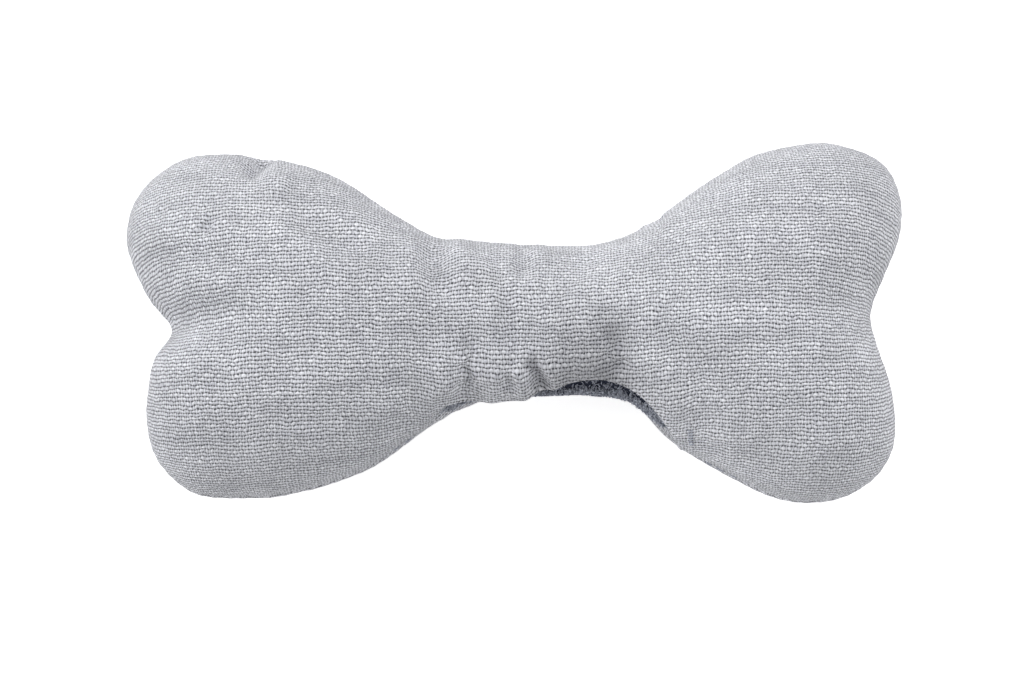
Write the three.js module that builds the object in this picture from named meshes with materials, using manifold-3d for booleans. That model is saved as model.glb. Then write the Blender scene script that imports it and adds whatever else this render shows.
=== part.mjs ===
// Plush bone dog toy: two linen panels sewn round the edge and stuffed with fibre wads, with a
// hook-and-loop mouth along one side of the waist and a squeaker behind it.
// Millimetres, +Z up. The bone lies on its back panel, its length along X, its mouth facing -Y.
// The model is built with the seam's plane at height zero and lifted onto its underside last.
import * as THREE from 'three';
import { mergeVertices } from 'three/addons/utils/BufferGeometryUtils.js';
import Module from 'manifold-3d';

const wasm = await Module();
wasm.setup();

// The bone. Every section stands on a straight spine, and turns round the spine's ends like a fan.
const spineHalf = 46;
const waistHalf = 15; // narrowest half width
const waistPlace = 5; // where along the spine the waist is thinnest
const shoulderHalf = 33.5; // half width beside the spine's ends
const knobReach = 41; // from a spine's end to the tip of a knob
const waistRise = 13.8; // half thickness at the waist
const endRise = 21.5; // half thickness at the spine's ends
const restDepth = 0.5; // how deep the underside is pressed flat

// The cloth and its seam
const clothThickness = 0.8;
const seamAllowance = 5; // turned inside
const seamGap = 0.15; // from the seam's plane to either panel
const pieceGap = 0.3; // between pieces that touch
const wadGap = 0.8; // between the fibre and what it yields to at the mouth
const overrun = 4; // how far a cutter passes what it cuts

// The mouth, its tapes and the lip that peels off them
const mouthCentre = 7.5;
const mouthCorner = 8; // length over which each corner opens
const loopLength = 43.4;
const loopWidth = 20;
const loopThickness = 1.3; // backing and pile
const hookThickness = 0.9;
const hookMargin = 1.5; // from the flap's edges to the hook tape
const hookWidth = 8;
const lipLift = 2.2; // how far the tapes push the front lip out
const flapLength = 30;
const flapDepth = 11; // from the root to the lip's edge, along the cloth
const underlapMargin = 0.8; // cloth past the loop tape's upper edge
const recessLength = 3.8; // over which the back panel sinks below the loop tape

// The squeaker
const bulbRadius = 7.25;
const bulbLength = 26;
const bulbWall = 0.8;
const neckRadius = 3.6;
const neckLength = 3;
const whistleBore = 1.1;
const whistleFlange = 0.9; // thickness of the rim outside the neck
const whistleLength = 5;
const reedThickness = 0.25;
const reedWidth = 3.2;

// The fibre wads
const waistWad = new THREE.Vector3(35, 26, 25); // half axes of the rounded block they meet

// Half widths at thirteen even stations from -X to +X, as shares of the way from the waist's half
// width to the shoulder's. The far side is +Y, the near side -Y.
const farSideShares = [1.01, 0.88, 0.65, 0.36, 0.13, 0.08, 0.05, 0.02, 0.01, 0.12, 0.37, 0.66, 0.91];
const nearSideShares = [1.01, 0.92, 0.77, 0.53, 0.23, 0.06, 0.02, 0, 0.01, 0.11, 0.51, 0.81, 1.03];
// Reaches of the fan round each end at even turns, as shares of the knob's reach. Each fan starts
// beside the shoulder and ends beside the other one, with the notch in its middle.
const rightFanShares = [0.87, 0.97, 1.01, 0.89, 0.7, 0.605, 0.66, 0.81, 0.97, 1, 0.94];
const leftFanShares = [0.865, 0.92, 0.895, 0.78, 0.65, 0.555, 0.7, 0.89, 0.97, 0.96, 0.885];
// The mouth's two lines at nine even stations along it, as shares of a right angle from the top:
// the front lip's wavy edge, and the line where the back panel comes out from under the loop tape.
const lipShares = [0.92, 0.84, 0.78, 0.77, 0.68, 0.62, 0.63, 0.66, 0.8];
const closingShares = [0.94, 0.93, 1.02, 1.08, 1.11, 1.1, 1.04, 0.9, 0.86];

// The mouth's corner is still sewn shut up to this share of its opening
const partingShare = 0.3;

// How finely the skin is divided
const openSteps = 4; // stations from a spine's end to the mouth
const cornerSteps = 4;
const mouthSteps = 9;
const shortSteps = 2; // stations from the mouth to the spine's other end
const fanSteps = 18;
const frontSteps = 6;
const underlapSteps = 3;
const backSteps = 4;
const tapeSteps = 16;
const tapeRows = 6;
const lineSamples = 24; // points along a cutter's edge
const roundSegments = 24;
const blockSegments = 20;
const capSegments = 5;

const rightAngle = Math.PI / 2;
const tapeStart = mouthCentre - loopLength / 2;
const tapeEnd = mouthCentre + loopLength / 2;
const mouthStart = tapeStart - mouthCorner;
const mouthEnd = tapeEnd + mouthCorner;
const hookDepth = clothThickness + pieceGap;
const loopDepth = hookDepth + hookThickness + pieceGap;
const underlapDepth = loopDepth + loopThickness + pieceGap; // below the front lip's outer face
const wadDepth = clothThickness + pieceGap;

const { clamp, lerp, smoothstep } = THREE.MathUtils;

// A smooth value between evenly spaced ones, on a closed ring or on an open row
function splineValue(values, place, closed) {
  const count = values.length;
  const index = closed ? Math.floor(place) : clamp(Math.floor(place), 0, count - 2);
  const t = place - index;
  const at = (k) => (closed ? values[(k + count) % count] : values[clamp(k, 0, count - 1)]);
  const [a, b, c, d] = [at(index - 1), at(index), at(index + 1), at(index + 2)];
  return b + 0.5 * t * (c - a + t * (2 * a - 5 * b + 4 * c - d + t * (3 * (b - c) + d - a)));
}

// The outline as reaches round the whole ring: far side, right fan, near side, left fan
const sideReach = (share) => lerp(waistHalf, shoulderHalf, share);
const fanReach = (share) => knobReach * share;
const ringReaches = [
  ...farSideShares.map(sideReach),
  ...rightFanShares.map(fanReach),
  ...nearSideShares.map(sideReach).reverse(),
  ...leftFanShares.map(fanReach),
];
const quarter = farSideShares.length - 1;

const ringReach = (place) => splineValue(ringReaches, place % ringReaches.length, true);
const sidePlace = (x) => (quarter * (x + spineHalf)) / (2 * spineHalf);
const nearReach = (x) => ringReach(3 * quarter - sidePlace(x));

// Half thickness: least at the waist, level at the spine's ends
function riseAt(x) {
  const span = x < waistPlace ? spineHalf + waistPlace : spineHalf - waistPlace;
  return lerp(waistRise, endRise, smoothstep(Math.abs(x - waistPlace) / span, 0, 1));
}

// How far the mouth is open at a station, 0 past its corners and 1 along the tapes
function openingAt(x) {
  return smoothstep(x, mouthStart, tapeStart) * (1 - smoothstep(x, tapeEnd, mouthEnd));
}

// The edges of the two lips part once the mouth is open by the parting share
const lipParting = (x) => clamp((openingAt(x) - partingShare) / (1 - partingShare), 0, 1);
function mouthLine(shares, x) {
  const place = ((shares.length - 1) * (x - mouthStart)) / (mouthEnd - mouthStart);
  return rightAngle * splineValue(shares, place, false);
}
const alongCloth = (length, x) => length / nearReach(x);

const lipAngle = (x) => lerp(rightAngle, mouthLine(lipShares, x), lipParting(x));
const closingAngle = (x) => lerp(rightAngle, mouthLine(closingShares, x), lipParting(x));
const loopLow = (x) => closingAngle(x) - alongCloth(pieceGap, x);
const loopHigh = (x) => loopLow(x) - alongCloth(loopWidth, x);
const underlapTop = (x) => loopHigh(x) - alongCloth(underlapMargin, x);

// The flap's root is where the front panel bends when the lip is peeled
const rootAngle = lipShares[lipShares.length >> 1] * rightAngle - alongCloth(flapDepth, mouthCentre);
const liftStart = rootAngle - alongCloth(hookMargin, mouthCentre);
const liftEnd = rootAngle + alongCloth(hookWidth, mouthCentre);
const liftShape = (angle) => smoothstep(angle, liftStart, liftEnd);
const frontLift = (x, angle) => lipLift * openingAt(x) * liftShape(angle);

// How far the back panel has sunk under the tapes, from 0 to 1, and how deep it then lies below
// the plain skin
function sinking(x, angle) {
  const close = closingAngle(x);
  return openingAt(x) * (1 - smoothstep(angle, close, close + alongCloth(recessLength, x)));
}
const backRecess = (x, angle) =>
  sinking(x, angle) * (underlapDepth - lipLift * liftShape(angle));

// A station or fan ray: its foot on the spine, its heading, and the reach and rise of its section
const stationRay = (x, near) => ({
  x,
  near,
  heading: near ? -rightAngle : rightAngle,
  reach: ringReach(near ? 3 * quarter - sidePlace(x) : sidePlace(x)),
  rise: riseAt(x),
});
const fanRay = (side, turn) => ({
  x: side * spineHalf,
  near: false,
  heading: side > 0 ? rightAngle - turn : -rightAngle - turn,
  reach: ringReach((side > 0 ? quarter : 3 * quarter) + (quarter * turn) / Math.PI),
  rise: endRise,
});

// A point of the skin, at an angle from the top of its section and a depth below the surface
function skinPoint(ray, angle, depth) {
  const out = (ray.reach - depth) * Math.sin(angle);
  const up = (ray.rise - depth) * Math.cos(angle);
  const floor = restDepth - endRise + Math.max(depth, 0);
  return new THREE.Vector3(
    ray.x + out * Math.cos(ray.heading), out * Math.sin(ray.heading), Math.max(up, floor));
}

// Which way the front panel lies from a panel's edge, in the ray's own section
function towardsFront(ray, angle) {
  const out = -Math.cos(angle);
  return new THREE.Vector3(
    out * Math.cos(ray.heading), out * Math.sin(ray.heading), Math.sin(angle));
}

const evenly = (from, to, steps) =>
  Array.from({ length: steps }, (_, i) => lerp(from, to, i / steps));

// Every ray of the ring, in order round the bone
function ringRays() {
  const stations = [
    ...evenly(-spineHalf, mouthStart, openSteps),
    ...evenly(mouthStart, tapeStart, cornerSteps),
    ...evenly(tapeStart, tapeEnd, mouthSteps),
    ...evenly(tapeEnd, mouthEnd, cornerSteps),
    ...evenly(mouthEnd, spineHalf, shortSteps),
    spineHalf,
  ];
  const turns = evenly(0, Math.PI, fanSteps).slice(1);
  return [
    ...stations.map((x) => stationRay(x, false)),
    ...turns.map((turn) => fanRay(1, turn)),
    ...stations.map((x) => stationRay(x, true)).reverse(),
    ...turns.map((turn) => fanRay(-1, turn)),
  ];
}

// A closed geometry from faces given as rings of points: doubled corners are merged and the faces
// that this leaves without area are dropped
function closedGeometry(quads) {
  const corners = quads.flatMap(([a, b, c, d]) => [a, b, c, a, c, d]);
  const soup = new THREE.BufferGeometry().setFromPoints(corners);
  const merged = mergeVertices(soup);
  const index = merged.getIndex().array;
  const kept = [];
  for (let i = 0; i < index.length; i += 3) {
    const [a, b, c] = index.slice(i, i + 3);
    if (a !== b && b !== c && c !== a) kept.push(a, b, c);
  }
  merged.setIndex(kept);
  return merged;
}

// Quads between neighbouring rows of equal length
function stripQuads(rows, closed) {
  const quads = [];
  const last = closed ? rows.length : rows.length - 1;
  for (let i = 0; i < last; i += 1) {
    const [row, next] = [rows[i], rows[(i + 1) % rows.length]];
    for (let k = 0; k + 1 < row.length; k += 1) quads.push([row[k], row[k + 1], next[k + 1], next[k]]);
  }
  return quads;
}

// Solids: a geometry's corners merged by place and handed over, faces turned outwards
function toSolid(geometry) {
  const bare = geometry.clone();
  bare.deleteAttribute('normal');
  bare.deleteAttribute('uv');
  const merged = mergeVertices(bare);
  const vertProperties = Float32Array.from(merged.attributes.position.array);
  const triVerts = Uint32Array.from(merged.index.array);
  const solid = new wasm.Manifold(new wasm.Mesh({ numProp: 3, vertProperties, triVerts }));
  if (solid.volume() > 0) return solid;
  const turned = triVerts.slice();
  for (let i = 0; i < turned.length; i += 3) [turned[i], turned[i + 1]] = [turned[i + 1], turned[i]];
  return new wasm.Manifold(new wasm.Mesh({ numProp: 3, vertProperties, triVerts: turned }));
}

function toGeometry(solid) {
  const { vertProperties, triVerts } = solid.getMesh();
  const geometry = new THREE.BufferGeometry();
  geometry.setAttribute('position', new THREE.BufferAttribute(vertProperties, 3));
  geometry.setIndex(new THREE.BufferAttribute(triVerts, 1));
  const faceted = geometry.toNonIndexed();
  faceted.computeVertexNormals();
  return faceted;
}

// A solid swept round the ring: each ray gives one section, from the spine out and back to it
const ringSolid = (section, closedSection) => {
  const rows = ringRays().map((ray) => section(ray));
  if (closedSection) rows.forEach((row) => row.push(row[0]));
  return toSolid(closedGeometry(stripQuads(rows, true)));
};

// The front panel's section: the outer face down to its edge, the allowance turned in, and back
function frontSection(ray) {
  const open = ray.near ? openingAt(ray.x) : 0;
  const edge = ray.near ? lipAngle(ray.x) : rightAngle;
  const lift = (angle) => (ray.near ? frontLift(ray.x, angle) : 0);
  const angles = [...evenly(0, edge, frontSteps), edge];
  const offEdge = (depth, height) =>
    skinPoint(ray, edge, depth - lift(edge)).addScaledVector(towardsFront(ray, edge), height);
  const tip = clothThickness + seamAllowance * allowanceShare(ray, open);
  const outer = angles.slice(0, -1).map((angle) => skinPoint(ray, angle, -lift(angle)));
  const inner = angles.slice(0, -1).map((angle) => skinPoint(ray, angle, clothThickness - lift(angle)));
  const turned = seamGap + clothThickness;
  return [
    ...outer, offEdge(0, seamGap), offEdge(tip, seamGap), offEdge(tip, turned),
    offEdge(clothThickness, turned), ...inner.reverse(),
  ];
}

// The allowance is whole along the seam and runs out before the mouth's corners
function allowanceShare(ray, open) {
  if (!ray.near) return 1;
  if (open > 0) return 0;
  const away = Math.max(mouthStart - ray.x, ray.x - mouthEnd);
  return smoothstep(away, 0, mouthCorner);
}

// The back panel's rows, as angles from its edge to the middle of the underside. Where the mouth
// has parted its lip runs up under the tapes, and rows lie on both ends of the recess.
function backAngles(ray) {
  const plain = [...evenly(rightAngle, Math.PI, underlapSteps + 1 + backSteps), Math.PI];
  if (!ray.near) return plain;
  const close = closingAngle(ray.x);
  const edge = lerp(close, underlapTop(ray.x), lipParting(ray.x));
  const surfaced = close + alongCloth(recessLength, ray.x);
  const atMouth = [
    ...evenly(edge, close, underlapSteps), close,
    ...evenly(surfaced, Math.PI, backSteps), Math.PI];
  const nearness = clamp(openingAt(ray.x) / partingShare, 0, 1);
  return plain.map((angle, i) => lerp(angle, atMouth[i], nearness));
}

// The back panel's section: the same as the front's from below
function backSection(ray) {
  const open = ray.near ? openingAt(ray.x) : 0;
  const angles = backAngles(ray);
  const recess = (angle) => (ray.near ? backRecess(ray.x, angle) : 0);
  const offEdge = (depth, height) =>
    skinPoint(ray, angles[0], depth + recess(angles[0])).addScaledVector(
      towardsFront(ray, angles[0]), -height);
  const tip = clothThickness + seamAllowance * allowanceShare(ray, open);
  const outer = angles.slice(1).map((angle) => skinPoint(ray, angle, recess(angle)));
  const inner = angles.slice(1).map((angle) => skinPoint(ray, angle, clothThickness + recess(angle)));
  const turned = seamGap + clothThickness;
  return [
    ...outer.reverse(), offEdge(0, seamGap), offEdge(tip, seamGap), offEdge(tip, turned),
    offEdge(clothThickness, turned), ...inner,
  ];
}

// A strip of the mouth between two depths, on the near side: edges are angles that follow x
function mouthStrip(from, to, highAngle, lowAngle, outerDepth, innerDepth) {
  const layer = (depth) =>
    [...evenly(from, to, tapeSteps), to].map((x) => {
      const ray = stationRay(x, true);
      const angles = [...evenly(highAngle(x), lowAngle(x), tapeRows), lowAngle(x)];
      return angles.map((angle) => skinPoint(ray, angle, depth(x, angle)));
    });
  const outer = layer(outerDepth);
  const inner = layer(innerDepth);
  const rows = outer.map((row, i) => [...row, ...inner[i].slice().reverse(), row[0]]);
  const cap = (row, other) =>
    row.slice(0, -1).map((_, k) => [row[k], row[k + 1], other[k + 1], other[k]]);
  const ends = [...cap(inner[0], outer[0]), ...cap(outer.at(-1), inner.at(-1))];
  return toSolid(closedGeometry([...stripQuads(rows, false), ...ends]));
}

// Where the flap's root lies: the hinge line, outside of every part of the skin along the root
const flapStart = mouthCentre - flapLength / 2;
const flapEnd = mouthCentre + flapLength / 2;
const rootNormal = new THREE.Vector3(0, -Math.sin(rootAngle), Math.cos(rootAngle));
const rootTangent = new THREE.Vector3(0, -Math.cos(rootAngle), -Math.sin(rootAngle));
const rootLine = [...evenly(flapStart, flapEnd, lineSamples), flapEnd].map((x) =>
  skinPoint(stationRay(x, true), rootAngle, -frontLift(x, rootAngle)));
const hinge = rootLine
  .reduce((far, point) => (point.dot(rootNormal) > far.dot(rootNormal) ? point : far))
  .clone()
  .setX(mouthCentre);

// A block along X over the near flank, from a face through the hinge line down past the seam
function flankBlock(from, to, offset) {
  const top = hinge.clone().addScaledVector(rootTangent, offset);
  const outside = top.clone().addScaledVector(rootNormal, overrun);
  const inside = top.clone().addScaledVector(rootNormal, -overrun);
  const shape = new THREE.Shape([
    new THREE.Vector2(outside.y, outside.z),
    new THREE.Vector2(inside.y, inside.z),
    new THREE.Vector2(inside.y, -overrun),
    new THREE.Vector2(-shoulderHalf, -overrun),
    new THREE.Vector2(-shoulderHalf, outside.z),
  ]);
  const block = new THREE.ExtrudeGeometry(shape, { depth: to - from, bevelEnabled: false });
  // The shape's plane is turned from XY to YZ
  const turn = new THREE.Matrix4().makeBasis(
    new THREE.Vector3(0, 1, 0), new THREE.Vector3(0, 0, 1), new THREE.Vector3(1, 0, 0));
  block.applyMatrix4(turn).translate(from, 0, 0);
  return toSolid(block);
}

const boxSolid = (low, high) => {
  const size = high.clone().sub(low);
  const middle = high.clone().add(low).multiplyScalar(0.5);
  const box = new THREE.BoxGeometry(size.x, size.y, size.z).translate(middle.x, middle.y, middle.z);
  return toSolid(box);
};

// The front lip over the mouth, and the panel that it is peeled from
const wholeFront = ringSolid(frontSection, false);
const closureFlap = wholeFront.intersect(flankBlock(flapStart + seamGap, flapEnd - seamGap, seamGap));
const frontPanel = wholeFront.subtract(flankBlock(flapStart - seamGap, flapEnd + seamGap, -seamGap));
const backPanel = ringSolid(backSection, false);

const loopTape = mouthStrip(
  tapeStart, tapeEnd, loopHigh, loopLow,
  (x, angle) => backRecess(x, Math.min(angle, closingAngle(x))) - pieceGap - loopThickness,
  (x, angle) => backRecess(x, Math.min(angle, closingAngle(x))) - pieceGap);
const hookHigh = (x) => rootAngle + alongCloth(hookMargin, x);
const hookTape = mouthStrip(
  flapStart + hookMargin, flapEnd - hookMargin, hookHigh,
  (x) => hookHigh(x) + alongCloth(hookWidth, x),
  (x, angle) => hookDepth - frontLift(x, angle),
  (x, angle) => hookDepth + hookThickness - frontLift(x, angle));

// All the fibre as one body, before it is parted into wads: its back is left full here, and cut
// by the room for the back panel
function wadSection(ray) {
  const angles = [...evenly(0, Math.PI, 2 * frontSteps), Math.PI];
  return angles.map((angle) => skinPoint(ray, angle, angle > rightAngle ? 0 : wadDepth));
}
function allowanceRoom(ray) {
  const share = allowanceShare(ray, ray.near ? openingAt(ray.x) : 0);
  const depth = wadDepth + seamAllowance * share;
  const height = seamGap + clothThickness + pieceGap;
  const corner = (d, h) => skinPoint(ray, rightAngle, d).setZ(h);
  return [
    corner(-overrun, height), corner(depth, height),
    corner(depth, -height), corner(-overrun, -height),
  ];
}

// Room for the back panel: its own section, thicker both ways and a little past its edge
function backRoom(ray) {
  const open = ray.near ? openingAt(ray.x) : 0;
  const angles = backAngles(ray);
  const inside = (angle) => (ray.near
    ? backRecess(ray.x, angle) + clothThickness + lerp(pieceGap, wadGap, sinking(ray.x, angle))
    : clothThickness + pieceGap);
  const outer = angles.map((angle) => skinPoint(ray, angle, -overrun));
  const inner = angles.map((angle) => skinPoint(ray, angle, inside(angle)));
  const past = wadGap * open;
  for (const row of [outer, inner]) row[0].addScaledVector(towardsFront(ray, angles[0]), past);
  return [...outer.reverse(), ...inner];
}
// Room for the lip's steep ends, full height up to the mouth's corners
const cornerRoom = mouthStrip(
  mouthStart, mouthEnd, (x) => underlapTop(x) - alongCloth(wadGap, x), closingAngle,
  () => -overrun, (x, angle) => backRecess(x, angle) + clothThickness + wadGap);
const allFibre = ringSolid(wadSection, false)
  .subtract(ringSolid(allowanceRoom, true))
  .subtract(ringSolid(backRoom, false))
  .subtract(cornerRoom);

// The squeaker lies along the mouth, against the back panel's lip
const lipInside = nearReach(mouthCentre) - underlapDepth + lipLift - clothThickness;
const squeakerPlace = new THREE.Vector3(mouthCentre - neckLength / 2, wadGap + bulbRadius - lipInside, 0);

const bulbTurn = (points) => {
  const turned = new THREE.LatheGeometry(points, roundSegments);
  return turned.rotateZ(-rightAngle).translate(squeakerPlace.x, squeakerPlace.y, squeakerPlace.z);
};
const arcPoints = (radius, middle, from, to) =>
  [...evenly(from, to, capSegments), to].map((a) =>
    new THREE.Vector2(radius * Math.cos(a), middle + radius * Math.sin(a)));

// A capsule with an open neck: its profile runs up the outside and back down the inside
function bulbProfile(grow) {
  const radius = bulbRadius + grow;
  const middle = bulbLength / 2 - bulbRadius;
  const shoulder = Math.acos(clamp((neckRadius + grow) / radius, 0, 1));
  const mouth = bulbLength / 2 + neckLength + grow;
  return [
    new THREE.Vector2(0, -middle - radius),
    ...arcPoints(radius, -middle, -rightAngle, 0).slice(1),
    ...arcPoints(radius, middle, 0, shoulder),
    new THREE.Vector2(neckRadius + grow, mouth),
  ];
}
const outerBulb = bulbProfile(0);
const innerBulb = bulbProfile(-bulbWall);
innerBulb.at(-1).y = bulbLength / 2 + neckLength;
const squeakerBulb = bulbTurn([...outerBulb, ...innerBulb.reverse()]);

const stemRadius = neckRadius - bulbWall - pieceGap;
const neckMouth = bulbLength / 2 + neckLength;
const flangeFace = neckMouth + pieceGap;
const whistleFoot = flangeFace - whistleLength;
const squeakerWhistle = bulbTurn([
  new THREE.Vector2(whistleBore, whistleFoot),
  new THREE.Vector2(stemRadius, whistleFoot),
  new THREE.Vector2(stemRadius, flangeFace),
  new THREE.Vector2(neckRadius, flangeFace),
  new THREE.Vector2(neckRadius, flangeFace + whistleFlange),
  new THREE.Vector2(whistleBore, flangeFace + whistleFlange),
  new THREE.Vector2(whistleBore, whistleFoot),
]);

// The reed is a blade with a round tip across the whistle's bore
function reedBlade() {
  const half = reedWidth / 2;
  const reach = stemRadius - half;
  const outline = new THREE.Shape();
  outline.moveTo(-half, -reach);
  outline.lineTo(half, -reach);
  outline.lineTo(half, 0);
  outline.absarc(0, 0, half, 0, Math.PI, false);
  const blade = new THREE.ExtrudeGeometry(
    outline, { depth: reedThickness, bevelEnabled: false, curveSegments: capSegments });
  const seat = squeakerPlace.x + whistleFoot - pieceGap - reedThickness;
  return blade.rotateY(rightAngle).translate(seat, squeakerPlace.y, squeakerPlace.z);
}

// The waist's wad has rounded ends and a trough for the squeaker, open towards the mouth
const block = (grow) => {
  const ball = new THREE.SphereGeometry(1, blockSegments, blockSegments / 2).rotateZ(rightAngle);
  const axes = waistWad.clone().addScalar(grow);
  return toSolid(ball.scale(axes.x, axes.y, axes.z).translate(waistPlace, 0, 0));
};
const troughProfile = bulbProfile(pieceGap);
troughProfile.push(new THREE.Vector2(neckRadius + pieceGap, neckMouth + whistleFlange + 2 * pieceGap));
troughProfile.push(new THREE.Vector2(0, neckMouth + whistleFlange + 2 * pieceGap));
const trough = toSolid(bulbTurn(troughProfile));
const troughMouth = boxSolid(
  new THREE.Vector3(squeakerPlace.x - bulbLength / 2 + bulbRadius, -waistWad.y, -bulbRadius - pieceGap),
  new THREE.Vector3(squeakerPlace.x + bulbLength / 2 - bulbRadius, squeakerPlace.y, bulbRadius + pieceGap));
const fillWaist = allFibre.intersect(block(0)).subtract(trough).subtract(troughMouth);

// The knobs' wads are cut by the waist's, and part along the spine
function knobWad(side, far) {
  const reach = spineHalf + knobReach;
  const low = new THREE.Vector3(side > 0 ? waistPlace : -reach, far ? seamGap : -reach, -endRise);
  const high = new THREE.Vector3(side > 0 ? reach : waistPlace, far ? reach : -seamGap, endRise);
  return allFibre.subtract(block(pieceGap)).intersect(boxSolid(low, high));
}

const linen = new THREE.MeshStandardMaterial({ color: 0xc3c4ca, roughness: 0.92, metalness: 0 });
const loopPile = new THREE.MeshStandardMaterial({ color: 0x5d6270, roughness: 1, metalness: 0 });
const hookNylon = new THREE.MeshStandardMaterial({ color: 0x6b707c, roughness: 0.7, metalness: 0 });
const fibre = new THREE.MeshStandardMaterial({ color: 0xf1f1ee, roughness: 1, metalness: 0 });
const polythene = new THREE.MeshStandardMaterial({ color: 0xe4e6e2, roughness: 0.35, metalness: 0 });
const reedFilm = new THREE.MeshStandardMaterial({ color: 0xd8d8d4, roughness: 0.4, metalness: 0 });

const toy = new THREE.Group();

function addPiece(name, geometry, material) {
  const piece = new THREE.Mesh(geometry, material.clone());
  piece.name = name;
  toy.add(piece);
  return piece;
}

addPiece('front_panel', toGeometry(frontPanel), linen);
addPiece('back_panel', toGeometry(backPanel), linen);
addPiece('closure_flap', toGeometry(closureFlap), linen);
addPiece('hook_tape', toGeometry(hookTape), hookNylon);
addPiece('loop_tape', toGeometry(loopTape), loopPile);
addPiece('fill_waist', toGeometry(fillWaist), fibre);
for (const [side, sideName] of [[-1, 'left'], [1, 'right']]) {
  for (const [far, rowName] of [[true, 'far'], [false, 'near']]) {
    addPiece(`fill_knob_${sideName}_${rowName}`, toGeometry(knobWad(side, far)), fibre);
  }
}
addPiece('squeaker_bulb', squeakerBulb, polythene);
addPiece('squeaker_whistle', squeakerWhistle, polythene);
addPiece('squeaker_reed', reedBlade(), reedFilm);

// The origin is the middle of the bone's footprint, on the floor
const outlinePoints = ringRays().map((ray) => skinPoint(ray, rightAngle, 0));
const outlineBox = new THREE.Box3().setFromPoints(outlinePoints);
const middle = outlineBox.getCenter(new THREE.Vector3());
toy.position.set(-middle.x, -middle.y, endRise - restDepth);
toy.userData.hinge = hinge.clone().add(toy.position).toArray();

export default toy;
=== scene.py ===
"""A stuffed linen bone for a dog: two woven panels sewn round the edge, with a hook-and-loop mouth.

Everything is in metres. The bone lies on its back panel, its length along X, its mouth facing -Y.
"""
import math
import random

import bmesh
import bpy
import numpy as np
from mathutils import Matrix, Vector, geometry, kdtree


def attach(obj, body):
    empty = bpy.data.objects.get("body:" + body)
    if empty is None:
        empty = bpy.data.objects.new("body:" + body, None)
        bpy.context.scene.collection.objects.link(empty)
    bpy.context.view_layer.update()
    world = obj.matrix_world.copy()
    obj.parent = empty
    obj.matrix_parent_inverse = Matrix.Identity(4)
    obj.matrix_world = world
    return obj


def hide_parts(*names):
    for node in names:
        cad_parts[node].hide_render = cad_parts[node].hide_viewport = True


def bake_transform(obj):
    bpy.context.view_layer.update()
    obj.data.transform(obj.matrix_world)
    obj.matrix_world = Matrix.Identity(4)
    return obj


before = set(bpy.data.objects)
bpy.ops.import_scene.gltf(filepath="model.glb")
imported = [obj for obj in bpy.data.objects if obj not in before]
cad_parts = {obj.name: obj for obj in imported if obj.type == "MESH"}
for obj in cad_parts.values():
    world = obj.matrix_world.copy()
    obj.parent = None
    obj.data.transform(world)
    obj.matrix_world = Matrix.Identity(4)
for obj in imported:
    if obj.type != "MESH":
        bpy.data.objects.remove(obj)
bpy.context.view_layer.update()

scene = bpy.context.scene
MM = 0.001

# The bone: its sections stand on a straight spine and turn round the spine's ends like a fan
SPINE_HALF = 46 * MM
WAIST_HALF = 15 * MM
WAIST_PLACE = 5 * MM
SHOULDER_HALF = 33.5 * MM
KNOB_REACH = 41 * MM
WAIST_RISE = 13.8 * MM
END_RISE = 21.5 * MM
REST_DEPTH = 0.5 * MM

# Half widths at thirteen even stations, and reaches of the fans at even turns, as shares
FAR_SIDE_SHARES = (1.01, 0.88, 0.65, 0.36, 0.13, 0.08, 0.05, 0.02, 0.01, 0.12, 0.37, 0.66, 0.91)
NEAR_SIDE_SHARES = (1.01, 0.92, 0.77, 0.53, 0.23, 0.06, 0.02, 0, 0.01, 0.11, 0.51, 0.81, 1.03)
RIGHT_FAN_SHARES = (0.87, 0.97, 1.01, 0.89, 0.7, 0.605, 0.66, 0.81, 0.97, 1, 0.94)
LEFT_FAN_SHARES = (0.865, 0.92, 0.895, 0.78, 0.65, 0.555, 0.7, 0.89, 0.97, 0.96, 0.885)

# The mouth and its tapes
MOUTH_CENTRE = 7.5 * MM
MOUTH_CORNER = 8 * MM
PARTING_SHARE = 0.5
CLOTH = 0.8 * MM
PIECE_GAP = 0.3 * MM
LOOP_LENGTH = 43.4 * MM
LOOP_WIDTH = 20 * MM
LOOP_THICKNESS = 1.3 * MM
HOOK_THICKNESS = 0.9 * MM
HOOK_WIDTH = 8 * MM
HOOK_MARGIN = 1.5 * MM
LIP_LIFT = 2.2 * MM
FLAP_LENGTH = 30 * MM
FLAP_DEPTH = 11 * MM
UNDERLAP_MARGIN = 0.8 * MM
RECESS_LENGTH = 3.8 * MM

# The mouth's two lines along it, as shares of a right angle from the top
LIP_SHARES = (0.9, 0.7, 0.79, 0.78, 0.66, 0.57, 0.61, 0.7, 0.84)
CLOSING_SHARES = (0.94, 0.93, 1.02, 1.08, 1.11, 1.1, 1.04, 0.9, 0.86)

RIGHT_ANGLE = math.pi / 2
TAPE_START, TAPE_END = MOUTH_CENTRE - LOOP_LENGTH / 2, MOUTH_CENTRE + LOOP_LENGTH / 2
MOUTH_START, MOUTH_END = TAPE_START - MOUTH_CORNER, TAPE_END + MOUTH_CORNER
FLAP_START, FLAP_END = MOUTH_CENTRE - FLAP_LENGTH / 2, MOUTH_CENTRE + FLAP_LENGTH / 2
UNDERLAP_DEPTH = CLOTH + HOOK_THICKNESS + LOOP_THICKNESS + 3 * PIECE_GAP

# The camera: where it looks, and how high above the floor's level it stands
AIM = Vector((-0.81, -2.77, 21)) * MM
VIEW_HEIGHT = math.radians(81)
VIEW_WAY = Vector((0, math.cos(VIEW_HEIGHT), -math.sin(VIEW_HEIGHT)))

# How finely the cloth, its sections and its seam are divided
CLOTH_CELL = 1.5 * MM
EDGE_MARGIN = 0.6 * CLOTH_CELL
ARC_STEPS = 60
TURNS = np.linspace(0, math.radians(165), ARC_STEPS)
SEAM_STEPS = 2400

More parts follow.
